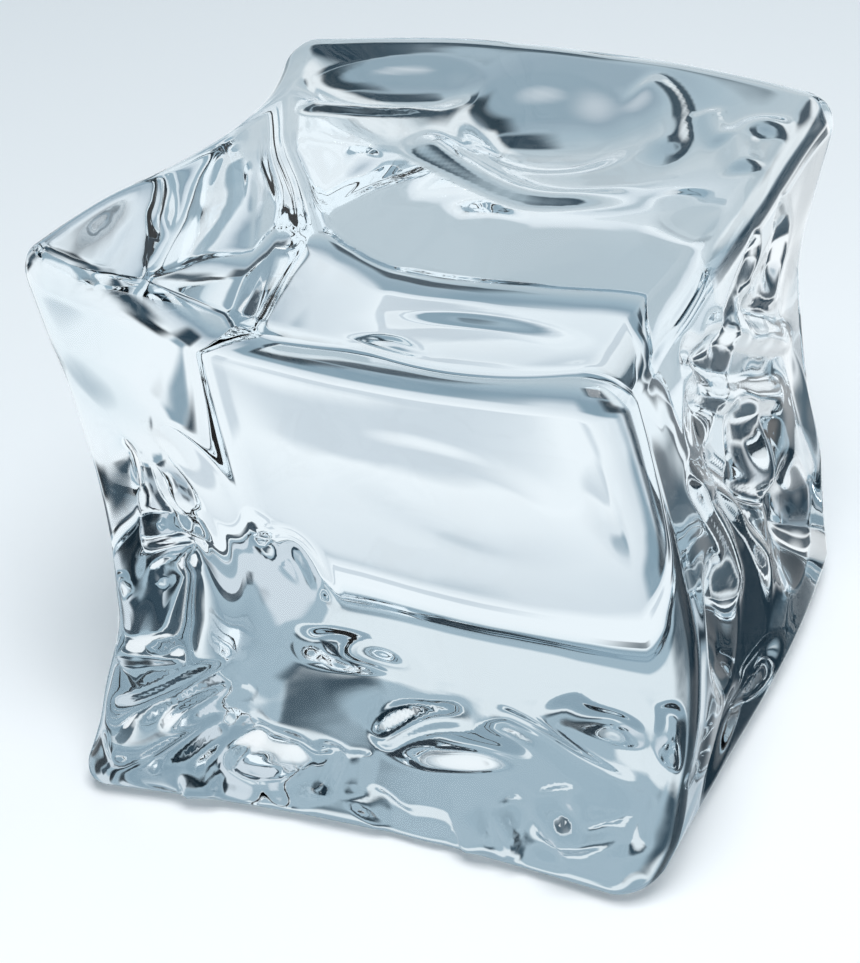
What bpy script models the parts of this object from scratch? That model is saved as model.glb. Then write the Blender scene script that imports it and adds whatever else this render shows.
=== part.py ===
"""A clear ice cube, part melted, as one closed solid.

The block starts as a cube with rounded edges in reference units, from -1 to 1 on
each axis. Its skin is then moved by the melt undulations and the melt dents, and
the whole is carried into metres by its eight corners, the bow of its twelve edges
and the dish of its six faces. It stands on its flat underside at z = 0.
"""

import math
from collections import namedtuple

import bpy
import numpy as np
from mathutils import Vector, noise

# Driving dimensions, in metres
WIDTH = 0.0325  # along x
DEPTH = 0.0335  # along y
HEIGHT = 0.0306  # along z, at the corners
EDGE_RADIUS = 0.0021  # melted rounding along every edge
UNDERCUT = 0.0030  # how far melting has lifted the back of the lower left edge
SKIN_WAVE = 0.00045  # height of the melt undulations where the skin melted most
BROAD_WAVE = 0.011  # length of the broad undulations
SHORT_WAVE = 0.005  # length of the short undulations riding on them

# Mesh: quads across the flat of a face, and across half of an edge's rounding
FLAT_STEPS = 20
ROUND_STEPS = 4

MM = 0.001
AXES = {"x": 0, "y": 1, "z": 2}
HALF = WIDTH / 2

# How far each corner of the block stands off its true place, in mm.
# Signs say left or right, front or back, bottom or top.
CORNER_SHIFT = {
    (-1, -1, -1): (-0.10, -1.35, 0.0),
    (1, -1, -1): (-0.10, -0.25, 0.0),
    (1, 1, -1): (-0.65, 0.50, 0.0),
    (-1, 1, -1): (-1.50, -0.45, 0.0),
    (-1, -1, 1): (-0.15, 1.25, 0.7),
    (1, -1, 1): (-0.65, -0.15, -0.8),
    (1, 1, 1): (0.30, -0.75, 0.0),
    (-1, 1, 1): (-0.45, -0.95, 0.0),
}

# How the middle of each edge bows, in mm. An edge runs along `axis` on the sides
# given by the signs of the other two axes, and `peak` is where the bow is deepest.
Edge = namedtuple("Edge", "axis sides bow sway peak")
EDGES = (
    Edge("x", (-1, -1), (0.0, 1.3, 0.0), 0.0, 0.5),
    Edge("x", (1, -1), (0.0, -0.8, 0.0), 0.0, 0.5),
    Edge("x", (-1, 1), (0.0, 0.0, -1.9), 0.0, 0.5),
    Edge("x", (1, 1), (0.0, 0.0, 1.4), 0.0, 0.5),
    Edge("y", (-1, -1), (0.8, 0.0, 0.0), 0.0, 0.5),
    Edge("y", (1, -1), (0.8, 0.0, 0.0), 0.0, 0.62),
    Edge("y", (-1, 1), (1.6, 0.0, -1.3), 0.0, 0.7),
    Edge("y", (1, 1), (0.0, 0.0, -0.5), 0.0, 0.5),
    Edge("z", (-1, -1), (3.6, 0.6, 0.0), 0.0, 0.42),
    Edge("z", (1, -1), (3.0, 0.8, 0.0), 0.0, 0.45),
    Edge("z", (1, 1), (-1.6, -0.5, 0.0), 0.5, 0.5),
    Edge("z", (-1, 1), (-1.0, -0.8, 0.0), 0.0, 0.5),
)

# How deep the middle of each face is dished, in mm. The underside stays flat.
Dish = namedtuple("Dish", "axis side depth")
DISHES = (
    Dish("x", -1, 0.8),
    Dish("x", 1, 0.8),
    Dish("y", -1, 0.6),
    Dish("y", 1, 0.9),
    Dish("z", 1, 0.8),
)

# Melt dents. The centre and the two radii are in reference units along the face's
# own two axes, `turn` is in degrees, `depth` in mm, and `wall` from 0 to 1 says how
# steep the side of the dent is.
Dent = namedtuple("Dent", "axis side centre radii turn depth wall")
DENTS = (
    # underside
    Dent("z", -1, (0.14, -0.22), (0.32, 0.24), 10, 1.0, 0.0),
    Dent("z", -1, (-0.45, -0.45), (0.22, 0.18), -20, 0.7, 0.0),
    Dent("z", -1, (-0.50, 0.40), (0.24, 0.22), 0, 0.8, 0.0),
    Dent("z", -1, (0.58, 0.30), (0.26, 0.22), 30, 0.8, 0.0),
    # front
    Dent("y", -1, (0.36, 0.52), (0.46, 0.24), -8, 0.12, 0.8),
    Dent("y", -1, (0.40, -0.60), (0.26, 0.18), -8, 0.35, 0.0),
    Dent("y", -1, (-0.05, -0.34), (0.20, 0.19), 0, 0.60, 0.0),
    Dent("y", -1, (-0.27, -0.72), (0.17, 0.16), 20, 0.45, 0.0),
    Dent("y", -1, (0.80, -0.40), (0.22, 0.30), 15, 0.45, 0.0),
    Dent("y", -1, (-0.72, -0.10), (0.22, 0.30), -20, 0.70, 0.0),
    Dent("y", -1, (-0.66, -0.62), (0.28, 0.20), 35, 0.65, 0.0),
    Dent("y", -1, (-0.85, 0.22), (0.42, 0.50), 0, 2.0, 0.0),
    # top
    Dent("z", 1, (0.30, 0.48), (0.62, 0.46), -12, 0.5, 0.9),
    Dent("z", 1, (0.12, 0.54), (0.36, 0.26), -8, 1.2, 0.5),
    Dent("z", 1, (-0.52, 0.64), (0.38, 0.17), 8, 1.0, 0.5),
    Dent("z", 1, (0.50, -0.80), (0.44, 0.18), -5, 0.25, 0.7),
    # right
    Dent("x", 1, (-0.52, -0.18), (0.40, 0.20), -62, 1.3, 0.3),
    Dent("x", 1, (0.04, 0.06), (0.42, 0.22), -62, 1.4, 0.3),
    Dent("x", 1, (0.42, -0.42), (0.34, 0.26), -50, 1.2, 0.2),
    Dent("x", 1, (-0.30, 0.62), (0.30, 0.18), 10, 0.9, 0.2),
    Dent("x", 1, (0.36, 0.60), (0.30, 0.20), 0, 0.9, 0.2),
    Dent("x", 1, (-0.45, -0.72), (0.30, 0.16), 10, 0.6, 0.0),
    # back
    Dent("y", 1, (0.68, -0.35), (0.24, 0.32), 10, 0.8, 0.0),
)


def clear_scene():
    for obj in list(bpy.data.objects):
        bpy.data.objects.remove(obj)


def ease(start, end, value):
    """0 before `start`, 1 after `end` and a smooth rise between."""
    t = np.clip((value - start) / (end - start), 0.0, 1.0)
    return t * t * (3.0 - 2.0 * t)


def share(points, sides, axes):
    """How near each point is to the given sides, from 0 to 1."""
    weight = np.ones(len(points))
    for side, axis in zip(sides, axes):
        weight = weight * (1.0 + side * points[:, axis]) / 2.0
    return weight


def others(axis):
    return [i for i in range(3) if i != axis]


def grid_stops():
    """Grid lines across one face: even on the flat, even in angle on the rounding."""
    radius = EDGE_RADIUS / HALF
    flat = np.linspace(-(1.0 - radius), 1.0 - radius, FLAT_STEPS + 1)
    angles = np.linspace(0.0, math.pi / 4.0, ROUND_STEPS + 1)[1:]
    rounding = (1.0 - radius) + radius * np.tan(angles)
    return np.concatenate([-rounding[::-1], flat, rounding])


def cube_grid():
    """Points on a cube from -1 to 1 and its quads, all facing outward."""
    stops = grid_stops()
    count = len(stops)
    index = {}
    points = []
    quads = []

    def point_at(position):
        key = tuple(round(value, 9) for value in position)
        if key not in index:
            index[key] = len(points)
            points.append(position)
        return index[key]

    for axis in range(3):
        first = (axis + 1) % 3
        second = (axis + 2) % 3
        for side in (-1.0, 1.0):
            ids = np.empty((count, count), int)
            for i, a in enumerate(stops):
                for j, b in enumerate(stops):
                    position = [0.0, 0.0, 0.0]
                    position[axis] = side
                    position[first] = a
                    position[second] = b
                    ids[i, j] = point_at(tuple(position))
            for i in range(count - 1):
                for j in range(count - 1):
                    quad = (ids[i, j], ids[i + 1, j], ids[i + 1, j + 1], ids[i, j + 1])
                    quads.append(quad if side > 0.0 else quad[::-1])
    return np.array(points), quads


def bump(position, peak):
    """A rise and fall along an edge from -1 to 1, highest at `peak` of its length."""
    along = np.clip((position + 1.0) / 2.0, 0.0, 1.0)
    return along ** (math.log(0.5) / math.log(peak))


def rounded(points):
    """The points moved onto the rounded cube, and their outward directions."""
    radius = EDGE_RADIUS / HALF
    inner = np.clip(points, -(1.0 - radius), 1.0 - radius)
    out = points - inner
    out = out / np.linalg.norm(out, axis=1, keepdims=True)
    return inner + radius * out, out


def wave(points, length, seed):
    """Smooth noise of about the given wavelength."""
    offset = Vector((13.1, 7.7, 3.3)) * seed
    scale = HALF / length
    return np.array([noise.noise(Vector(point) * scale + offset) for point in points.tolist()])


def melt_strength(points):
    """How far melting has roughened the skin: least on the upper front and the back."""
    x, y, z = points.T
    strength = np.full(len(points), 0.15)
    strength += 0.8 * ease(-0.1, -0.6, z) * ease(-0.2, -0.9, y)
    strength += 0.7 * ease(0.7, 1.0, x)
    strength += 0.9 * ease(-0.6, -1.0, x) * ease(-0.1, -0.6, z) * ease(0.2, -0.4, y)
    strength += 0.2 * ease(0.6, 1.0, z) * ease(-0.2, 0.6, y)
    strength += 0.3 * ease(0.6, 1.0, z) * ease(0.0, -0.8, x)
    return strength * ease(-0.98, -0.75, z)


def dent_depth(points, out, dent):
    """How deep one dent is at each point, in metres."""
    axis = AXES[dent.axis]
    first, second = others(axis)
    turn = math.radians(dent.turn)
    a = points[:, first] - dent.centre[0]
    b = points[:, second] - dent.centre[1]
    along = (a * math.cos(turn) + b * math.sin(turn)) / dent.radii[0]
    across = (b * math.cos(turn) - a * math.sin(turn)) / dent.radii[1]
    distance = np.sqrt(along**2 + across**2)
    bowl = np.clip(1.0 - distance**2, 0.0, 1.0) ** 2
    pan = ease(1.0, 0.5, distance)
    facing = ease(0.3, 0.95, out[:, axis] * dent.side)
    return dent.depth * MM * facing * ((1.0 - dent.wall) * bowl + dent.wall * pan)


def melted(points, out):
    """The rounded cube with its undulations and dents, still in reference units."""
    broad = wave(points, BROAD_WAVE, 1)
    short = wave(points, SHORT_WAVE, 5)
    height = SKIN_WAVE * melt_strength(points) * (broad + 0.5 * short)
    for dent in DENTS:
        height = height - dent_depth(points, out, dent)
    return points + out * (height / HALF)[:, None]


def placed(points):
    """Reference units to metres: corners, edge bows, face dishes, then the undercut."""
    half_size = np.array([WIDTH / 2.0, DEPTH / 2.0, HEIGHT])
    result = np.zeros_like(points)
    for signs, shift in CORNER_SHIFT.items():
        corner = half_size * np.array([signs[0], signs[1], (signs[2] + 1) / 2.0])
        corner = corner + np.array(shift) * MM
        result += share(points, signs, (0, 1, 2))[:, None] * corner
    for edge in EDGES:
        axis = AXES[edge.axis]
        along = bump(points[:, axis], edge.peak)
        near = share(points, edge.sides, others(axis))
        bow = np.array(edge.bow) * MM
        result += (near * np.sin(math.pi * along))[:, None] * bow
        result[:, 0] += near * np.sin(2.0 * math.pi * along) * edge.sway * MM
    for dish in DISHES:
        axis = AXES[dish.axis]
        first, second = others(axis)
        middle = (1.0 - points[:, first] ** 2) * (1.0 - points[:, second] ** 2)
        near = share(points, (dish.side,), (axis,))
        result[:, axis] -= dish.side * dish.depth * MM * near * middle
    x, y, z = points.T
    under = ease(-0.6, -1.0, x) * ease(-0.2, 0.8, y) * (1.0 - z) / 2.0
    result[:, 2] += UNDERCUT * under
    return result


def centred(points):
    """Moved so that the middle of the underside's box is the origin."""
    low = points.min(axis=0)
    high = points.max(axis=0)
    middle = (low + high) / 2.0
    middle[2] = low[2]
    return points - middle


def ice_material():
    material = bpy.data.materials.new("clear_ice")
    material.use_nodes = True
    shader = material.node_tree.nodes["Principled BSDF"]
    shader.inputs["Base Color"].default_value = (0.80, 0.89, 0.93, 1.0)
    shader.inputs["Roughness"].default_value = 0.03
    shader.inputs["Metallic"].default_value = 0.0
    shader.inputs["IOR"].default_value = 1.31
    shader.inputs["Transmission Weight"].default_value = 1.0
    return material


def make_ice_cube():
    points, quads = cube_grid()
    points, out = rounded(points)
    points = centred(placed(melted(points, out)))
    mesh = bpy.data.meshes.new("ice_cube")
    mesh.from_pydata(points.tolist(), [], [tuple(int(i) for i in quad) for quad in quads])
    mesh.update()
    mesh.shade_smooth()
    mesh.materials.append(ice_material())
    cube = bpy.data.objects.new("ice_cube", mesh)
    bpy.context.scene.collection.objects.link(cube)
    return cube


def main():
    clear_scene()
    make_ice_cube()


if __name__ == "__main__":
    main()
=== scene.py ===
"""Studio scene of a clear, part-melted ice cube standing on a plain pale floor.

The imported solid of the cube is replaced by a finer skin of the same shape, made from
the same named sizes. Every length is in metres unless its name says otherwise.
"""

import logging
import math
from dataclasses import dataclass, field
from enum import Enum
from typing import Any, Optional

import bpy
import numpy as np
from mathutils import Matrix, Vector, noise


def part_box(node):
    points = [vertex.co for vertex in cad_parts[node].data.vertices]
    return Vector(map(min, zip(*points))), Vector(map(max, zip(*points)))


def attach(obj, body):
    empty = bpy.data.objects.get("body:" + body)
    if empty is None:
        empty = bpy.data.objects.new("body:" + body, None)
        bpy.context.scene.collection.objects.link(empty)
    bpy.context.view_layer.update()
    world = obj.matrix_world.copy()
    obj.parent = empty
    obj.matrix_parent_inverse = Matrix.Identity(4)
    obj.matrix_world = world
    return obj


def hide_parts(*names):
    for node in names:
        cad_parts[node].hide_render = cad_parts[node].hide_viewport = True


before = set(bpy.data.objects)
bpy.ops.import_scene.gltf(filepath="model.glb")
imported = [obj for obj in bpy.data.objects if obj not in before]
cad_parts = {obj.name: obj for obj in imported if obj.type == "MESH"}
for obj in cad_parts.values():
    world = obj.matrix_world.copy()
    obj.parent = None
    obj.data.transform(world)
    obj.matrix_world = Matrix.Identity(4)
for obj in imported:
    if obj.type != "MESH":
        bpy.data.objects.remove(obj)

log = logging.getLogger("ice_cube")
MM = 0.001
Triple = tuple[float, float, float]
Pair = tuple[float, float]


# ---------------------------------------------------------------- small helpers


def linear(hex_colour: str, strength: float = 1.0) -> tuple[float, float, float, float]:
    """Turn an sRGB hex colour into linear values.

    Args:
        hex_colour: a colour such as "#E8F0F4".
        strength: a factor on the linear values.

    Returns:
        Red, green, blue and an alpha of 1.
    """
    channels = [int(hex_colour[i : i + 2], 16) / 255.0 for i in (1, 3, 5)]
    values = [c / 12.92 if c <= 0.04045 else ((c + 0.055) / 1.055) ** 2.4 for c in channels]
    return (values[0] * strength, values[1] * strength, values[2] * strength, 1.0)


def add_node(
    tree: bpy.types.NodeTree,
    kind: str,
    settings: Optional[dict[str, Any]] = None,
    inputs: Optional[dict[Any, Any]] = None,
) -> bpy.types.Node:
    """Add one node with its settings, its input values and its links.

    Args:
        tree: the tree that the node goes into.
        kind: the node's type name.
        settings: attribute names and their values.
        inputs: input names or numbers, and for each a value or an output to link from.

    Returns:
        The new node.
    """
    node = tree.nodes.new(kind)
    for name, value in (settings or {}).items():
        setattr(node, name, value)
    for key, value in (inputs or {}).items():
        if isinstance(value, bpy.types.NodeSocket):
            tree.links.new(value, node.inputs[key])
        else:
            node.inputs[key].default_value = value
    return node


def ease(start: float, end: float, value: np.ndarray) -> np.ndarray:
    """Rise smoothly from 0 at `start` to 1 at `end`.

    Args:
        start: the value where the rise begins.
        end: the value where it ends, above or below `start`.
        value: the values to map.

    Returns:
        An array of shares from 0 to 1.
    """
    t = np.clip((value - start) / (end - start), 0.0, 1.0)
    return t * t * (3.0 - 2.0 * t)


def share(points: np.ndarray, sides: tuple[int, ...], axes: tuple[int, ...]) -> np.ndarray:
    """Say how near each point is to the given sides of the block.

    Args:
        points: points in reference units, from -1 to 1.
        sides: -1 or 1 for each axis.
        axes: the axes that the sides belong to.

    Returns:
        An array of shares from 0 to 1.
    """
    weight = np.ones(len(points))
    for side, axis in zip(sides, axes):
        weight = weight * (1.0 + side * points[:, axis]) / 2.0
    return weight


def ring_path(centre: Pair, radii: Pair, corners: int = 8) -> tuple[Pair, ...]:
    """Lay the path of a ring-shaped groove.

    Args:
        centre: the middle of the ring, in reference units.
        radii: its two radii, in reference units.
        corners: how many places the ring is laid through.

    Returns:
        The places around the ring, with the first one again at the end.
    """
    turns = [math.tau * step / corners for step in range(corners + 1)]
    return tuple(
        (centre[0] + radii[0] * math.cos(turn), centre[1] + radii[1] * math.sin(turn))
        for turn in turns
    )


def link_to_scene(obj: bpy.types.Object) -> bpy.types.Object:
    """Put an object into the scene and hand it back."""
    bpy.context.scene.collection.objects.link(obj)
    return obj


# ---------------------------------------------------------------- the ice's shape


class Face(Enum):
    """The six faces of the block, each as its axis and its side."""

    LEFT = (0, -1)
    RIGHT = (0, 1)
    FRONT = (1, -1)
    BACK = (1, 1)
    UNDERSIDE = (2, -1)
    TOP = (2, 1)

    @property
    def axis(self) -> int:
        """The axis that the face looks along."""
        return self.value[0]

    @property
    def side(self) -> int:
        """-1 or 1, the end of that axis."""
        return self.value[1]

    @property
    def own_axes(self) -> tuple[int, int]:
        """The two axes that lie in the face."""
        first, second = (i for i in range(3) if i != self.axis)
        return first, second


class Way(Enum):
    """The three ways along the block, each as its axis."""

    ACROSS = 0
    BACKWARD = 1
    UPRIGHT = 2

    @property
    def other_axes(self) -> tuple[int, int]:
        """The axes of the other two ways."""
        first, second = (i for i in range(3) if i != self.value)
        return first, second


@dataclass(frozen=True)
class EdgeBow:
    """How the middle of one edge has melted away from a straight line, in mm.

    The sides are -1 or 1 on the two axes that the edge doesn't run along. The peak is the
    share of the edge's length where the bow is deepest.
    """

    run: Way
    sides: tuple[int, int]
    bow: Triple
    sway: float = 0.0
    peak: float = 0.5


@dataclass(frozen=True)
class Zone:
    """A part of the block, as limits along some of its axes.

    Each limit is a way along the block, the place where the zone begins and the place
    where it has its full strength, in reference units.
    """

    strength: float
    limits: tuple[tuple[Way, float, float], ...]

    def weight(self, points: np.ndarray) -> np.ndarray:
        """Say how strongly each point belongs to the zone.

        Args:
            points: points in reference units.

        Returns:
            Weights from 0 to the zone's strength.
        """
        weight = np.full(len(points), self.strength)
        for way, begin, full in self.limits:
            weight = weight * ease(begin, full, points[:, way.value])
        return weight


@dataclass(frozen=True)
class MeltDent:
    """One melt dent. Its place and radii are in reference units along the face.

    The wall is the share of its depth that falls off steeply at its rim.
    """

    face: Face
    centre: Pair
    radii: Pair
    turn_degrees: float
    depth_mm: float
    wall: float = 0.0


@dataclass(frozen=True)
class MeltGroove:
    """A shallow groove that melt water has run along, as a path over one face.

    The half width and the path are in reference units. A negative depth raises a ridge.
    """

    face: Face
    half_width: float
    depth_mm: float
    path: tuple[Pair, ...]

    def smooth_path(self, rounds: int = 2) -> list[np.ndarray]:
        """Cut the path's corners so that it bends smoothly.

        Args:
            rounds: how many times the corners are cut.

        Returns:
            The stops of the smoothed path, with both ends kept.
        """
        stops = [np.array(stop) for stop in self.path]
        for _ in range(rounds):
            cut = [stops[0]]
            for start, end in zip(stops, stops[1:]):
                cut += [0.75 * start + 0.25 * end, 0.25 * start + 0.75 * end]
            stops = cut + [stops[-1]]
        return stops


@dataclass
class MeltedBlock:
    """The shape of the ice: a cube whose corners, edges and faces have melted.

    It is worked out in reference units, in which the cube runs from -1 to 1 each way, and
    then carried into metres.
    """

    width: float = 0.0325
    depth: float = 0.0335
    height: float = 0.0306
    edge_radius: float = 0.0021
    wave_height: float = 0.00045
    broad_wave: float = 0.011
    broad_pattern: int = 1
    short_wave: float = 0.005
    short_pattern: int = 5
    short_share: float = 0.5
    pattern_step: Triple = (13.1, 7.7, 3.3)
    facing_limits: Pair = (0.3, 0.95)
    groove_start: float = 0.15
    groove_end: float = 0.25
    flat_steps: int = 104
    round_steps: int = 12
    weld_digits: int = 9
    corner_shift_mm: dict[tuple[int, int, int], Triple] = field(
        default_factory=lambda: {
            (-1, -1, -1): (-0.10, -1.35, 0.0),
            (1, -1, -1): (-0.10, -0.25, 0.0),
            (1, 1, -1): (-0.65, 0.50, 0.0),
            (-1, 1, -1): (-1.50, -0.45, 0.0),
            (-1, -1, 1): (-0.15, 1.25, 0.7),
            (1, -1, 1): (-0.65, -0.15, -0.8),
            (1, 1, 1): (0.30, -0.75, 0.0),
            (-1, 1, 1): (-0.45, -0.95, 0.0),
        }
    )
    edges: tuple[EdgeBow, ...] = (
        EdgeBow(Way.ACROSS, (-1, -1), (0.0, 1.3, 0.0)),
        EdgeBow(Way.ACROSS, (1, -1), (0.0, -0.8, 0.0)),
        EdgeBow(Way.ACROSS, (-1, 1), (0.0, 0.0, -1.9)),
        EdgeBow(Way.ACROSS, (1, 1), (0.0, 0.0, 1.4)),
        EdgeBow(Way.BACKWARD, (-1, -1), (0.8, 0.0, 0.0)),
        EdgeBow(Way.BACKWARD, (1, -1), (0.8, 0.0, 0.0), peak=0.62),
        EdgeBow(Way.BACKWARD, (-1, 1), (1.6, 0.0, -1.3), peak=0.7),
        EdgeBow(Way.BACKWARD, (1, 1), (0.0, 0.0, -0.5)),
        EdgeBow(Way.UPRIGHT, (-1, -1), (3.6, 0.6, 0.0), peak=0.42),
        EdgeBow(Way.UPRIGHT, (1, -1), (3.0, 0.8, 0.0), peak=0.45),
        EdgeBow(Way.UPRIGHT, (1, 1), (-1.6, -0.5, 0.0), sway=0.5),
        EdgeBow(Way.UPRIGHT, (-1, 1), (-1.0, -0.8, 0.0)),
    )
    dishes_mm: tuple[tuple[Face, float], ...] = (
        (Face.LEFT, 0.8),
        (Face.RIGHT, 0.8),
        (Face.FRONT, 0.6),
        (Face.BACK, 0.9),
        (Face.TOP, 0.8),
    )
    undercut: Zone = Zone(0.0030, ((Way.ACROSS, -0.6, -1.0), (Way.BACKWARD, -0.2, 0.8)))
    calm_melt: float = 0.15
    rough_zones: tuple[Zone, ...] = (
        Zone(0.8, ((Way.UPRIGHT, -0.1, -0.6), (Way.BACKWARD, -0.2, -0.9))),
        Zone(0.7, ((Way.ACROSS, 0.7, 1.0),)),
        Zone(
            0.9, ((Way.ACROSS, -0.6, -1.0), (Way.UPRIGHT, -0.1, -0.6), (Way.BACKWARD, 0.2, -0.4))
        ),
        Zone(0.2, ((Way.UPRIGHT, 0.6, 1.0), (Way.BACKWARD, -0.2, 0.6))),
        Zone(0.3, ((Way.UPRIGHT, 0.6, 1.0), (Way.ACROSS, 0.0, -0.8))),
    )
    above_foot: Zone = Zone(1.0, ((Way.UPRIGHT, -0.98, -0.75),))
    dents: tuple[MeltDent, ...] = (
        MeltDent(Face.UNDERSIDE, (0.14, -0.22), (0.32, 0.24), 10, 1.0),
        MeltDent(Face.UNDERSIDE, (-0.45, -0.45), (0.22, 0.18), -20, 0.7),
        MeltDent(Face.UNDERSIDE, (-0.50, 0.40), (0.24, 0.22), 0, 0.8),
        MeltDent(Face.UNDERSIDE, (0.58, 0.30), (0.26, 0.22), 30, 0.8),
        MeltDent(Face.FRONT, (0.36, 0.52), (0.46, 0.24), -8, 0.12, 0.8),
        MeltDent(Face.FRONT, (0.40, -0.60), (0.26, 0.18), -8, 0.35),
        MeltDent(Face.FRONT, (-0.05, -0.34), (0.20, 0.19), 0, 0.60),
        MeltDent(Face.FRONT, (-0.27, -0.72), (0.17, 0.16), 20, 0.45),
        MeltDent(Face.FRONT, (0.80, -0.40), (0.22, 0.30), 15, 0.45),
        MeltDent(Face.FRONT, (-0.72, -0.10), (0.22, 0.30), -20, 0.70),
        MeltDent(Face.FRONT, (-0.66, -0.62), (0.28, 0.20), 35, 0.65),
        MeltDent(Face.FRONT, (-0.85, 0.22), (0.42, 0.50), 0, 2.0),
        MeltDent(Face.TOP, (0.30, 0.48), (0.62, 0.46), -12, 0.5, 0.9),
        MeltDent(Face.TOP, (0.12, 0.54), (0.36, 0.26), -8, 1.2, 0.5),
        MeltDent(Face.TOP, (-0.52, 0.64), (0.38, 0.17), 8, 1.0, 0.5),
        MeltDent(Face.TOP, (0.50, -0.80), (0.44, 0.18), -5, 0.25, 0.7),
        MeltDent(Face.RIGHT, (-0.52, -0.18), (0.40, 0.20), -62, 1.3, 0.3),
        MeltDent(Face.RIGHT, (0.04, 0.06), (0.42, 0.22), -62, 1.4, 0.3),
        MeltDent(Face.RIGHT, (0.42, -0.42), (0.34, 0.26), -50, 1.2, 0.2),
        MeltDent(Face.RIGHT, (-0.30, 0.62), (0.30, 0.18), 10, 0.9, 0.2),
        MeltDent(Face.RIGHT, (0.36, 0.60), (0.30, 0.20), 0, 0.9, 0.2),
        MeltDent(Face.RIGHT, (-0.45, -0.72), (0.30, 0.16), 10, 0.6),
        MeltDent(Face.BACK, (0.68, -0.35), (0.24, 0.32), 10, 0.8),
    )
    grooves: tuple[MeltGroove, ...] = (
        # The top: raised rims beside its hollows.
        MeltGroove(
            Face.TOP,
            0.09,
            -0.50,
            ((-0.33, 0.38), (-0.07, 0.25), (0.20, 0.12), (0.34, 0.12), (0.60, 0.22)),
        ),
        MeltGroove(
            Face.TOP, 0.06, -0.35, ((-0.80, 0.44), (-0.66, 0.48), (-0.50, 0.50), (-0.28, 0.58))
        ),
        MeltGroove(
            Face.TOP,
            0.10,
            -0.60,
            ((0.32, 0.80), (0.45, 0.74), (0.52, 0.62), (0.54, 0.50), (0.48, 0.42)),
        ),
        MeltGroove(Face.TOP, 0.08, -0.50, ((0.86, 0.36), (0.76, 0.58), (0.80, 0.66), (0.93, 0.68))),
        MeltGroove(Face.TOP, 0.06, -0.40, ((0.60, 0.72), (0.66, 0.62), (0.74, 0.54))),
        # The front: lines fanned out over its lower left.
        MeltGroove(
            Face.FRONT, 0.07, 0.42, ((-0.95, -0.65), (-0.80, -0.58), (-0.65, -0.45), (-0.50, -0.38))
        ),
        MeltGroove(Face.FRONT, 0.06, 0.36, ((-0.75, -0.68), (-0.62, -0.55), (-0.48, -0.42))),
        MeltGroove(Face.FRONT, 0.06, 0.36, ((-0.78, -0.85), (-0.66, -0.72), (-0.52, -0.60))),
        MeltGroove(Face.FRONT, 0.06, 0.36, ((-0.60, -0.85), (-0.50, -0.70), (-0.42, -0.56))),
        MeltGroove(Face.FRONT, 0.06, -0.42, ((-0.98, -0.42), (-0.84, -0.38), (-0.70, -0.36))),
        # Lines over its lower right, and a raised one beside the round dent.
        MeltGroove(
            Face.FRONT, 0.07, 0.36, ((0.30, -0.35), (0.50, -0.40), (0.70, -0.50), (0.88, -0.55))
        ),
        MeltGroove(Face.FRONT, 0.07, -0.36, ((-0.05, -0.58), (0.08, -0.43), (0.28, -0.37))),
        MeltGroove(Face.FRONT, 0.06, -0.36, ((0.62, -0.60), (0.74, -0.66), (0.86, -0.62))),
        MeltGroove(Face.FRONT, 0.07, -0.42, ((0.58, -0.82), (0.72, -0.72), (0.86, -0.74))),
        MeltGroove(Face.FRONT, 0.07, 0.36, ((0.42, -0.68), (0.54, -0.76), (0.66, -0.88))),
        # Two short upright lines near the foot.
        MeltGroove(Face.FRONT, 0.06, 0.36, ((-0.16, -0.85), (-0.18, -0.60))),
        MeltGroove(Face.FRONT, 0.06, 0.36, ((-0.06, -0.82), (-0.08, -0.60))),
        # The left flank, and one line by the corner of the calm upper part.
        MeltGroove(Face.FRONT, 0.06, 0.36, ((-0.92, -0.12), (-0.80, -0.06), (-0.64, 0.02))),
        MeltGroove(Face.FRONT, 0.06, -0.36, ((-0.90, 0.00), (-0.76, 0.04), (-0.62, 0.10))),
        MeltGroove(
            Face.FRONT, 0.06, 0.36, ((-0.42, 0.10), (-0.30, 0.20), (-0.24, 0.10), (-0.22, -0.06))
        ),
        # Broad facets along the foot.
        MeltGroove(Face.FRONT, 0.12, -0.45, ((0.45, -0.86), (0.60, -0.76), (0.80, -0.70))),
        MeltGroove(Face.FRONT, 0.11, 0.40, ((-0.30, -0.92), (-0.20, -0.76), (-0.12, -0.60))),
        MeltGroove(Face.FRONT, 0.10, 0.40, ((0.05, -0.92), (0.25, -0.86), (0.40, -0.94))),
        MeltGroove(Face.FRONT, 0.10, -0.40, ((-0.92, -0.80), (-0.80, -0.72), (-0.70, -0.60))),
        # Two broad marks higher on the left flank.
        MeltGroove(Face.FRONT, 0.12, 0.50, ((-0.96, 0.32), (-0.86, 0.20), (-0.78, 0.02))),
        MeltGroove(Face.FRONT, 0.10, -0.40, ((-0.92, 0.08), (-0.78, 0.15), (-0.64, 0.26))),
        # A ring round a dent, and small facets along the foot.
        MeltGroove(Face.FRONT, 0.07, 0.36, ring_path((-0.40, -0.76), (0.16, 0.12))),
        MeltGroove(Face.FRONT, 0.14, 0.50, ((0.52, -0.86), (0.68, -0.80))),
        MeltGroove(Face.FRONT, 0.12, 0.45, ((0.78, -0.64), (0.86, -0.78))),
        MeltGroove(Face.FRONT, 0.12, -0.45, ((0.32, -0.90), (0.44, -0.82))),
        MeltGroove(Face.FRONT, 0.10, 0.40, ((0.58, -0.58), (0.66, -0.70))),
        MeltGroove(Face.FRONT, 0.12, 0.45, ((0.00, -0.90), (0.08, -0.78))),
        MeltGroove(Face.FRONT, 0.10, -0.40, ((-0.62, -0.92), (-0.50, -0.86))),
        # The right face: long slanting ridges and grooves.
        MeltGroove(
            Face.RIGHT, 0.07, -0.42, ((-0.50, 0.80), (-0.28, 0.55), (-0.03, 0.38), (0.60, 0.00))
        ),
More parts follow.
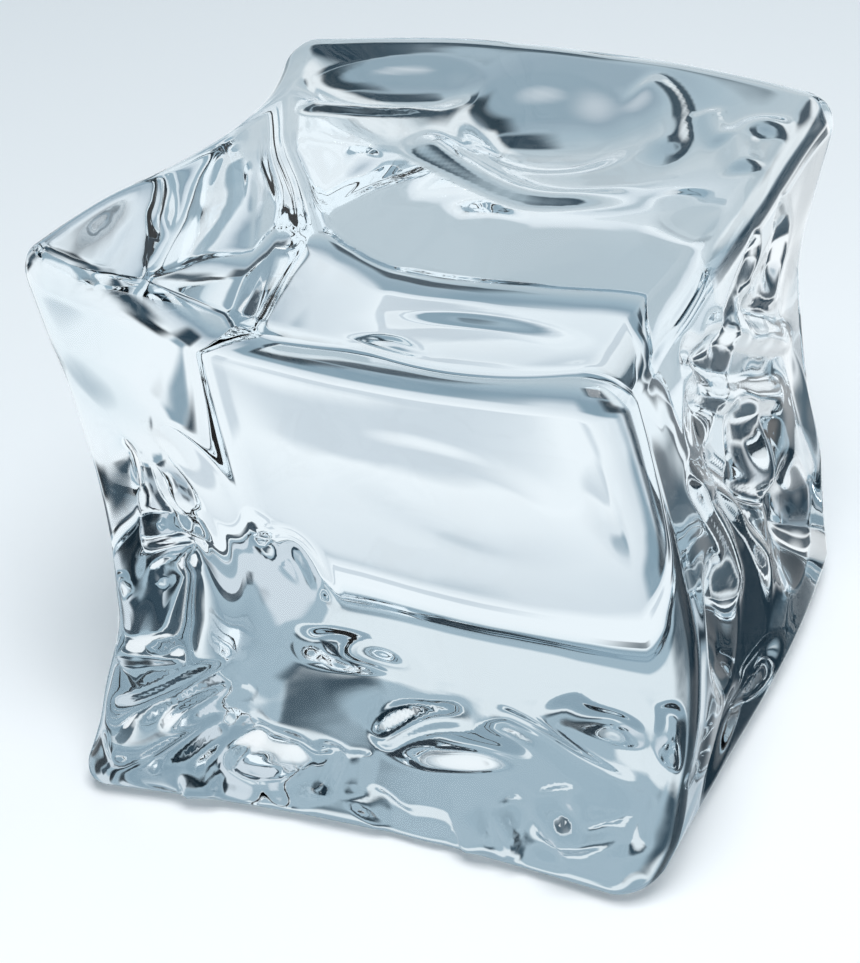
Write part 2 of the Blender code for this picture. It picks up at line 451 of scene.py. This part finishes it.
        MeltGroove(Face.RIGHT, 0.07, 0.42, ((-0.50, 0.45), (0.05, -0.10), (0.50, -0.35))),
        MeltGroove(Face.RIGHT, 0.07, -0.42, ((-0.65, 0.52), (-0.42, 0.15), (-0.22, -0.28))),
        MeltGroove(Face.RIGHT, 0.07, -0.42, ((-0.58, 0.48), (0.00, -0.12), (0.15, -0.60))),
        MeltGroove(Face.RIGHT, 0.06, 0.36, ((0.00, 0.76), (0.27, 0.52), (0.58, 0.34))),
        MeltGroove(Face.RIGHT, 0.06, 0.36, ((-0.50, 0.85), (-0.18, 0.60))),
        MeltGroove(Face.RIGHT, 0.06, -0.36, ((-0.33, 0.84), (0.30, 0.42), (0.80, 0.10))),
        MeltGroove(
            Face.RIGHT, 0.08, 0.45, ((0.20, 0.86), (0.05, 0.80), (-0.10, 0.72), (-0.12, 0.58))
        ),
        MeltGroove(Face.RIGHT, 0.07, 0.40, ((0.35, 0.88), (0.60, 0.62), (0.45, 0.47))),
    )

    @property
    def half(self) -> float:
        """Half the width, which is one reference unit."""
        return self.width / 2.0

    def grid_stops(self) -> np.ndarray:
        """Lay the grid lines across one face.

        Returns:
            Positions from -1 to 1, even on the flat and even in angle on the rounding.
        """
        radius = self.edge_radius / self.half
        flat = np.linspace(-(1.0 - radius), 1.0 - radius, self.flat_steps + 1)
        angles = np.linspace(0.0, math.pi / 4.0, self.round_steps + 1)[1:]
        rounding = (1.0 - radius) + radius * np.tan(angles)
        return np.concatenate([-rounding[::-1], flat, rounding])

    def cube_grid(self) -> tuple[np.ndarray, list[tuple[int, ...]]]:
        """Make the points and quads of the cube that the block starts from.

        Returns:
            Points from -1 to 1, and quads that face outward.
        """
        stops = self.grid_stops().tolist()
        count = len(stops)
        index: dict[Triple, int] = {}
        quads: list[tuple[int, ...]] = []
        for axis in range(3):
            first, second = (axis + 1) % 3, (axis + 2) % 3
            for side in (-1.0, 1.0):
                ids = [[0] * count for _ in stops]
                for i, a in enumerate(stops):
                    for j, b in enumerate(stops):
                        position = [side, side, side]
                        position[first] = round(a, self.weld_digits)
                        position[second] = round(b, self.weld_digits)
                        ids[i][j] = index.setdefault(tuple(position), len(index))
                for i in range(count - 1):
                    for j in range(count - 1):
                        quad = (ids[i][j], ids[i + 1][j], ids[i + 1][j + 1], ids[i][j + 1])
                        quads.append(quad if side > 0.0 else quad[::-1])
        return np.array(list(index)), quads

    def stretched(self, position: np.ndarray, peak: float) -> np.ndarray:
        """Stretch the way along an edge so that its middle falls at `peak`.

        Args:
            position: places along the edge, from -1 to 1.
            peak: where the bow is deepest, from 0 to 1.

        Returns:
            Shares from 0 to 1 that pass 0.5 at the peak.
        """
        along = np.clip((position + 1.0) / 2.0, 0.0, 1.0)
        return along ** (math.log(0.5) / math.log(peak))

    def rounded(self, points: np.ndarray) -> tuple[np.ndarray, np.ndarray]:
        """Move the cube's points onto its rounded skin.

        Args:
            points: points of the cube, in reference units.

        Returns:
            The moved points and their outward directions.
        """
        radius = self.edge_radius / self.half
        inner = np.clip(points, -(1.0 - radius), 1.0 - radius)
        out = points - inner
        out = out / np.linalg.norm(out, axis=1, keepdims=True)
        return inner + radius * out, out

    def wave(self, points: np.ndarray, length: float, pattern: int) -> np.ndarray:
        """Make smooth melt undulations.

        Args:
            points: points in reference units.
            length: the wavelength.
            pattern: which of the fixed patterns to use.

        Returns:
            Heights from about -1 to 1.
        """
        offset = Vector(self.pattern_step) * pattern
        scale = self.half / length
        return np.array([noise.noise(Vector(p) * scale + offset) for p in points.tolist()])

    def melt_strength(self, points: np.ndarray) -> np.ndarray:
        """Say how far melting has roughened the skin at each point.

        Args:
            points: points in reference units.

        Returns:
            Factors: least on the upper front and the back, 0 on the underside.
        """
        strength = np.full(len(points), self.calm_melt)
        for zone in self.rough_zones:
            strength += zone.weight(points)
        return strength * self.above_foot.weight(points)

    def facing(self, out: np.ndarray, face: Face) -> np.ndarray:
        """Say how squarely each point looks out of a face.

        Args:
            out: the points' outward directions.
            face: the face.

        Returns:
            Shares from 0 to 1.
        """
        return ease(*self.facing_limits, out[:, face.axis] * face.side)

    def dent_depth(self, points: np.ndarray, out: np.ndarray, dent: MeltDent) -> np.ndarray:
        """Give the depth of one dent at each point.

        Args:
            points: points in reference units.
            out: their outward directions.
            dent: the dent.

        Returns:
            Depths in metres, 0 outside the dent.
        """
        first, second = dent.face.own_axes
        turn = math.radians(dent.turn_degrees)
        a = points[:, first] - dent.centre[0]
        b = points[:, second] - dent.centre[1]
        along = (a * math.cos(turn) + b * math.sin(turn)) / dent.radii[0]
        across = (b * math.cos(turn) - a * math.sin(turn)) / dent.radii[1]
        distance = np.sqrt(along**2 + across**2)
        bowl = np.clip(1.0 - distance**2, 0.0, 1.0) ** 2
        pan = ease(1.0, 0.5, distance)
        facing = self.facing(out, dent.face)
        return dent.depth_mm * MM * facing * ((1.0 - dent.wall) * bowl + dent.wall * pan)

    def groove_depth(self, points: np.ndarray, out: np.ndarray, groove: MeltGroove) -> np.ndarray:
        """Give the depth of one groove at each point.

        Args:
            points: points in reference units.
            out: their outward directions.
            groove: the groove.

        Returns:
            Depths in metres: full along the middle of the path and fading at its ends.
        """
        place = points[:, groove.face.own_axes]
        stops = groove.smooth_path()
        lengths = [float(np.linalg.norm(end - start)) for start, end in zip(stops, stops[1:])]
        nearest = np.full(len(points), np.inf)
        along = np.zeros(len(points))
        run = 0.0
        for start, end, length in zip(stops, stops[1:], lengths):
            share_of = np.clip((place - start) @ (end - start) / length**2, 0.0, 1.0)
            distance = np.linalg.norm(place - start - share_of[:, None] * (end - start), axis=1)
            closer = distance < nearest
            along = np.where(closer, run + share_of * length, along)
            nearest = np.minimum(nearest, distance)
            run += length
        along = along / run
        bell = np.clip(1.0 - (nearest / groove.half_width) ** 2, 0.0, 1.0) ** 2
        fade = ease(0.0, self.groove_start, along) * ease(1.0, 1.0 - self.groove_end, along)
        return groove.depth_mm * MM * self.facing(out, groove.face) * fade * bell

    def melted(self, points: np.ndarray, out: np.ndarray) -> np.ndarray:
        """Add the undulations, the dents and the grooves to the rounded skin.

        Args:
            points: points of the rounded skin, in reference units.
            out: their outward directions.

        Returns:
            The moved points, in reference units.
        """
        broad = self.wave(points, self.broad_wave, self.broad_pattern)
        short = self.wave(points, self.short_wave, self.short_pattern)
        waves = broad + self.short_share * short
        height = self.wave_height * self.melt_strength(points) * waves
        for dent in self.dents:
            height = height - self.dent_depth(points, out, dent)
        for groove in self.grooves:
            height = height - self.groove_depth(points, out, groove)
        return points + out * (height / self.half)[:, None]

    def placed(self, points: np.ndarray) -> np.ndarray:
        """Carry reference units into metres by corners, edge bows and face dishes.

        Args:
            points: points in reference units.

        Returns:
            Points in metres, before they are seated on their box.
        """
        size = np.array([self.width / 2.0, self.depth / 2.0, self.height])
        result = np.zeros_like(points)
        for signs, shift in self.corner_shift_mm.items():
            corner = size * np.array([signs[0], signs[1], (signs[2] + 1) / 2.0])
            near = share(points, signs, (0, 1, 2))
            result += near[:, None] * (corner + np.array(shift) * MM)
        for edge in self.edges:
            along = self.stretched(points[:, edge.run.value], edge.peak)
            near = share(points, edge.sides, edge.run.other_axes)
            result += (near * np.sin(math.pi * along))[:, None] * np.array(edge.bow) * MM
            result[:, 0] += near * np.sin(2.0 * math.pi * along) * edge.sway * MM
        for face, depth_mm in self.dishes_mm:
            first, second = face.own_axes
            middle = (1.0 - points[:, first] ** 2) * (1.0 - points[:, second] ** 2)
            near = share(points, (face.side,), (face.axis,))
            result[:, face.axis] -= face.side * depth_mm * MM * near * middle
        result[:, 2] += self.undercut.weight(points) * (1.0 - points[:, 2]) / 2.0
        return result

    def build_mesh(self, name: str, box: tuple[Vector, Vector]) -> bpy.types.Mesh:
        """Make the finished skin, seated in the middle of the solid's box.

        Args:
            name: the mesh's name.
            box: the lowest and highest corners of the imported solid.

        Returns:
            A closed, smooth-shaded mesh of quads.
        """
        points, quads = self.cube_grid()
        skin, out = self.rounded(points)
        skin = self.placed(self.melted(skin, out))
        low, high = skin.min(axis=0), skin.max(axis=0)
        shift = (np.array(box[0]) + np.array(box[1])) / 2.0 - (low + high) / 2.0
        shift[2] = box[0][2] - low[2]
        mesh = bpy.data.meshes.new(name)
        mesh.from_pydata((skin + shift).tolist(), [], quads)
        mesh.update()
        mesh.shade_smooth()
        return mesh


# ---------------------------------------------------------------- the ice's finish


@dataclass(frozen=True)
class ClearIceMelted:
    """Frozen water with a wet, melt-smoothed skin.

    Melting has polished the skin, so it is as glossy as glass with an index of 1.31, and
    a long way through the block turns light faintly cyan. Fine ripples left by running
    melt water break up the smallest glints.
    """

    ior: float = 1.31
    roughness: float = 0.0
    depth_tint: str = "#C2DDEA"
    absorption: float = 8.0
    ripple_mm: float = 2.2
    ripple_height_mm: float = 0.006
    ripple_detail: float = 1.0
    ripple_softness: float = 0.4

    def material(self) -> bpy.types.Material:
        """Build the material.

        Returns:
            A see-through material with its tint in the volume and its ripples as bump.
        """
        material = bpy.data.materials.new("clear_ice_melted")
        material.use_nodes = True
        tree = material.node_tree
        tree.nodes.clear()
        place = add_node(tree, "ShaderNodeTexCoord")
        ripples = add_node(
            tree,
            "ShaderNodeTexNoise",
            {"noise_dimensions": "3D"},
            {
                "Vector": place.outputs["Object"],
                "Scale": 1.0 / (self.ripple_mm * MM),
                "Detail": self.ripple_detail,
                "Roughness": self.ripple_softness,
            },
        )
        bump = add_node(
            tree,
            "ShaderNodeBump",
            {},
            {
                "Strength": 1.0,
                "Distance": self.ripple_height_mm * MM,
                "Height": ripples.outputs["Fac"],
            },
        )
        skin = add_node(
            tree,
            "ShaderNodeBsdfPrincipled",
            {},
            {
                "Base Color": (1.0, 1.0, 1.0, 1.0),
                "Metallic": 0.0,
                "Roughness": self.roughness,
                "IOR": self.ior,
                "Transmission Weight": 1.0,
                "Normal": bump.outputs["Normal"],
            },
        )
        depth = add_node(
            tree,
            "ShaderNodeVolumeAbsorption",
            {},
            {"Color": linear(self.depth_tint), "Density": self.absorption},
        )
        add_node(
            tree,
            "ShaderNodeOutputMaterial",
            {},
            {"Surface": skin.outputs["BSDF"], "Volume": depth.outputs["Volume"]},
        )
        return material


@dataclass(frozen=True)
class MattPalePaint:
    """Matt paint, rolled on a smooth sheet.

    It scatters light evenly and shows hardly any sheen, so the floor stays pale far away.
    """

    colour: str = "#F4F5F6"
    roughness: float = 0.9
    specular: float = 0.1

    def material(self) -> bpy.types.Material:
        """Build the material.

        Returns:
            A plain opaque material.
        """
        material = bpy.data.materials.new("matt_pale_paint")
        material.use_nodes = True
        shader = material.node_tree.nodes["Principled BSDF"]
        shader.inputs["Base Color"].default_value = linear(self.colour)
        shader.inputs["Roughness"].default_value = self.roughness
        shader.inputs["Specular IOR Level"].default_value = self.specular
        return material


@dataclass
class IceCube:
    """The ice cube: one block in one finish."""

    block: MeltedBlock = field(default_factory=MeltedBlock)
    finish: ClearIceMelted = field(default_factory=ClearIceMelted)
    name: str = "ice_block"

    def build(self) -> bpy.types.Object:
        """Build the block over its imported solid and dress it.

        Returns:
            The finished piece, riding on the part's body.
        """
        mesh = self.block.build_mesh(self.name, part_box("ice_cube"))
        piece = link_to_scene(bpy.data.objects.new(self.name, mesh))
        self.dress(piece)
        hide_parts("ice_cube")
        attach(piece, "root")
        return piece

    def dress(self, piece: bpy.types.Object) -> None:
        """Give the piece its finish."""
        piece.data.materials.append(self.finish.material())


# ---------------------------------------------------------------- the studio


@dataclass(frozen=True)
class Panel:
    """A soft light or a dark flag far off in the studio.

    Bearings run from the back (+Y) at 0 towards the right (+X) at 90, and heights are
    the sine of the angle above the floor. The half width and the edge, over which the
    sides fade, are in degrees too. The panel fades in between the two values of `low`
    and out between the two of `high`.
    """

    name: str
    bearing: float
    half_width: float
    edge: float
    low: Pair
    high: Pair
    colour: str
    strength: float = 1.0


@dataclass
class Studio:
    """The floor, the light and the camera.

    The surround is a ramp of heights, as the panels have them, with the colour and the
    strength at each. The camera's bearing, height and roll are in degrees.
    """

    floor_radius: float = 0.5
    floor_drop: float = 0.0001
    floor_corners: int = 96
    floor_finish: MattPalePaint = field(default_factory=MattPalePaint)
    backdrop: str = "#EDEFF2"
    surround: tuple[tuple[float, str, float], ...] = (
        (-1.00, "#C6D3DB", 1.0),
        (-0.88, "#C0CDD4", 1.0),
        (-0.76, "#A5BAC6", 1.0),
        (-0.70, "#93A8B6", 1.0),
        (-0.63, "#D8E1E8", 1.0),
        (-0.50, "#F0F5F8", 1.1),
        (-0.30, "#F0F5F8", 1.1),
        (-0.12, "#E8F0F4", 1.1),
        (-0.05, "#B4C4CE", 1.0),
        (0.02, "#8FA6B4", 1.0),
        (0.30, "#8FA6B4", 1.0),
        (0.50, "#A5BAC6", 1.0),
        (0.85, "#A5BAC6", 1.0),
        (1.00, "#8FA6B4", 1.0),
    )
    panels: tuple[Panel, ...] = (
        Panel("back window", -25.0, 22.0, 5.0, (0.42, 0.46), (0.54, 0.58), "#E8F0F4"),
        Panel("blue window", 18.0, 13.0, 5.0, (0.46, 0.50), (0.74, 0.80), "#D8E1E8"),
        Panel("back right flag", 42.0, 10.0, 6.0, (0.44, 0.52), (0.62, 0.72), "#10202A"),
        Panel("left high flag", -43.0, 8.0, 6.0, (0.50, 0.57), (0.58, 0.66), "#3C505D"),
        Panel("front left flag", -107.0, 55.0, 5.0, (0.00, 0.04), (0.93, 0.97), "#1A2B36"),
        Panel("left flag", -63.0, 8.0, 5.0, (-0.72, -0.67), (-0.56, -0.50), "#2E414E"),
        Panel("left level flag", -47.0, 7.0, 3.0, (-0.30, -0.27), (-0.12, -0.08), "#2E414E"),
        Panel("front low window", -150.0, 45.0, 8.0, (-0.92, -0.88), (-0.62, -0.58), "#C0CDD4"),
        Panel("window sheet", -27.0, 6.0, 3.0, (-0.50, -0.48), (-0.44, -0.42), "#D8E1E8"),
        Panel("back low sheet", -36.0, 12.0, 4.0, (-0.72, -0.68), (-0.61, -0.58), "#8FA6B4"),
        Panel("back low flag", -43.0, 9.0, 4.0, (-0.82, -0.80), (-0.75, -0.73), "#2E414E"),
        Panel("back left flag", -47.0, 6.0, 4.0, (-0.74, -0.72), (-0.66, -0.63), "#22343F"),
        Panel("left low sheet", -56.0, 6.0, 4.0, (-0.86, -0.83), (-0.72, -0.69), "#E8F0F4"),
        Panel("back level flag", -1.0, 12.0, 3.0, (-0.29, -0.27), (-0.17, -0.15), "#2E414E"),
        Panel("back high flag", 30.0, 6.0, 3.0, (0.68, 0.70), (0.79, 0.81), "#2E414E"),
        Panel("far low flag", 15.0, 12.0, 6.0, (-0.68, -0.62), (-0.50, -0.45), "#2E414E"),
        Panel("far low sheet", 17.0, 7.0, 4.0, (-0.50, -0.46), (-0.42, -0.38), "#8FA6B4"),
        Panel("far side flag", 40.0, 9.0, 5.0, (-0.50, -0.46), (-0.41, -0.35), "#10202A"),
        Panel("left mid flag", -57.0, 8.0, 4.0, (-0.52, -0.48), (-0.38, -0.34), "#2E414E"),
        Panel("right low flag", 58.0, 14.0, 8.0, (-0.58, -0.50), (-0.46, -0.36), "#3C505D"),
        Panel("right low sheet", 138.0, 18.0, 5.0, (-0.54, -0.50), (-0.40, -0.36), "#A5BAC6"),
        Panel("small window", 85.0, 10.0, 3.0, (0.05, 0.08), (0.48, 0.52), "#FFFFFF", 1.20),
        Panel("right window", 120.0, 26.0, 4.0, (-0.30, -0.26), (0.86, 0.92), "#F4F9FC", 1.15),
    )
    key_place: Triple = (0.08, -0.12, 0.30)
    key_aim: Triple = (0.0, 0.0, 0.01)
    key_size: float = 0.16
    key_watts: float = 0.9
    lens_mm: float = 100.0
    sensor_mm: float = 36.0
    nearest_seen: float = 0.005
    camera_place_mm: Triple = (53.8, -110.0, 86.4)
    camera_bearing: float = 27.0
    camera_height: float = 31.0
    camera_roll: float = -4.4

    def build_floor(self) -> bpy.types.Object:
        """Lay the pale floor.

        Returns:
            A round sheet just under the ice. It is kept out of what shines through the
            ice and off it, so that the ice shows the studio around it and not its own
            shadow.
        """
        radius, count = self.floor_radius, self.floor_corners
        turns = [math.tau * corner / count for corner in range(count)]
        ring = [
            (radius * math.cos(turn), radius * math.sin(turn), -self.floor_drop) for turn in turns
        ]
        mesh = bpy.data.meshes.new("floor")
        mesh.from_pydata(ring, [], [tuple(range(count))])
        mesh.materials.append(self.floor_finish.material())
        floor = link_to_scene(bpy.data.objects.new("floor", mesh))
        floor.visible_transmission = False
        floor.visible_glossy = False
        return floor

    def build_world(self) -> bpy.types.World:
        """Build the light that comes from all round the studio.

        Returns:
            A world that is graded by height and carries the panels. The camera sees
            only the plain backdrop in it.
        """
        world = bpy.data.worlds.new("studio")
        world.use_nodes = True
        tree = world.node_tree
        tree.nodes.clear()
        way = add_node(tree, "ShaderNodeTexCoord").outputs["Generated"]
        height = add_node(tree, "ShaderNodeSeparateXYZ", {}, {0: way}).outputs["Z"]
        level = add_node(
            tree,
            "ShaderNodeMath",
            {"operation": "MULTIPLY_ADD"},
            {0: height, 1: 0.5, 2: 0.5},
        )
        ramp = add_node(tree, "ShaderNodeValToRGB", {}, {0: level.outputs[0]})
        self.fill_ramp(ramp.color_ramp)
        flat = add_node(
            tree, "ShaderNodeVectorMath", {"operation": "MULTIPLY"}, {0: way, 1: (1.0, 1.0, 0.0)}
        )
        heading = add_node(
            tree, "ShaderNodeVectorMath", {"operation": "NORMALIZE"}, {0: flat.outputs[0]}
        )
        colour = ramp.outputs["Color"]
        for panel in self.panels:
            colour = self.add_panel(tree, panel, heading.outputs[0], height, colour)
        studio = add_node(tree, "ShaderNodeBackground", {}, {"Color": colour})
        plain = add_node(tree, "ShaderNodeBackground", {}, {"Color": linear(self.backdrop)})
        seen = add_node(tree, "ShaderNodeLightPath").outputs["Is Camera Ray"]
        mixed = add_node(
            tree,
            "ShaderNodeMixShader",
            {},
            {0: seen, 1: studio.outputs[0], 2: plain.outputs[0]},
        )
        add_node(tree, "ShaderNodeOutputWorld", {}, {"Surface": mixed.outputs[0]})
        bpy.context.scene.world = world
        return world

    def fill_ramp(self, ramp: bpy.types.ColorRamp) -> None:
        """Set the colours of the surround from straight down to straight up.

        Args:
            ramp: the colour ramp, whose 0 is straight down and 1 straight up.
        """
        for number, (height, colour, strength) in enumerate(self.surround):
            place = height * 0.5 + 0.5
            stop = ramp.elements[number] if number < 2 else ramp.elements.new(place)
            stop.position = place
            stop.color = linear(colour, strength)

    def add_panel(
        self,
        tree: bpy.types.NodeTree,
        panel: Panel,
        heading: bpy.types.NodeSocket,
        height: bpy.types.NodeSocket,
        colour: bpy.types.NodeSocket,
    ) -> bpy.types.NodeSocket:
        """Put one panel over the surround.

        Args:
            tree: the world's nodes.
            panel: the panel.
            heading: the level direction of the light.
            height: the sine of its angle above the floor.
            colour: the colour so far.

        Returns:
            The colour with the panel in it.
        """
        bearing = math.radians(panel.bearing)
        towards = (math.sin(bearing), math.cos(bearing), 0.0)
        near = add_node(
            tree, "ShaderNodeVectorMath", {"operation": "DOT_PRODUCT"}, {0: heading, 1: towards}
        )
        soft = (panel.half_width + panel.edge, panel.half_width - panel.edge)
        limits = (
            (near.outputs["Value"], *(math.cos(math.radians(angle)) for angle in soft)),
            (height, *panel.low),
            (height, panel.high[1], panel.high[0]),
        )
        share_of: Any = 1.0
        for value, start, end in limits:
            rise = add_node(
                tree,
                "ShaderNodeMapRange",
                {"interpolation_type": "SMOOTHSTEP"},
                {"Value": value, "From Min": start, "From Max": end},
            )
            share_of = add_node(
                tree,
                "ShaderNodeMath",
                {"operation": "MULTIPLY"},
                {0: share_of, 1: rise.outputs["Result"]},
            ).outputs[0]
        mixed = add_node(
            tree,
            "ShaderNodeMix",
            {"data_type": "RGBA"},
            {0: share_of, 6: colour, 7: linear(panel.colour, panel.strength)},
        )
        return mixed.outputs[2]

    def build_key(self) -> bpy.types.Object:
        """Hang the soft key light over the front of the ice.

        Returns:
            The light. It is kept out of what shines through the ice, where it would make
            hard square patches.
        """
        lamp = bpy.data.lights.new("key", "AREA")
        lamp.size = self.key_size
        lamp.energy = self.key_watts
        key = link_to_scene(bpy.data.objects.new("key", lamp))
        key.visible_transmission = False
        key.location = self.key_place
        aim = Vector(self.key_aim) - key.location
        key.rotation_euler = aim.to_track_quat("-Z", "Y").to_euler()
        return key

    def build_camera(self) -> bpy.types.Object:
        """Set up the camera: a long lens, looking down on the front right corner.

        Returns:
            The camera, which is made the scene's own.
        """
        lens = bpy.data.cameras.new("camera")
        lens.lens = self.lens_mm
        lens.sensor_width = self.sensor_mm
        lens.clip_start = self.nearest_seen
        camera = link_to_scene(bpy.data.objects.new("camera", lens))
        bearing, height = math.radians(self.camera_bearing), math.radians(self.camera_height)
        back = Vector(
            (
                math.sin(bearing) * math.cos(height),
                -math.cos(bearing) * math.cos(height),
                math.sin(height),
            )
        )
        right = (-back).cross(Vector((0.0, 0.0, 1.0))).normalized()
        turn = Matrix((right, back.cross(right), back)).transposed().to_4x4()
        roll = Matrix.Rotation(math.radians(self.camera_roll), 4, "Z")
        place = Matrix.Translation(Vector(self.camera_place_mm) * MM)
        camera.matrix_world = place @ turn @ roll
        bpy.context.scene.camera = camera
        return camera

    def build(self) -> None:
        """Build the whole studio and set plain colours for the picture."""
        for made in (self.build_floor(), self.build_world(), self.build_key()):
            log.info("built %s", made.name)
        log.info("built %s", self.build_camera().name)
        bpy.context.scene.view_settings.view_transform = "Standard"


def main() -> None:
    """Build the ice cube and its studio."""
    logging.basicConfig(level=logging.INFO, format="%(name)s: %(message)s")
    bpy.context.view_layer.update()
    piece = IceCube().build()
    log.info("built %s with %d faces", piece.name, len(piece.data.polygons))
    Studio().build()
    bpy.context.view_layer.update()


if __name__ == "__main__":
    main()
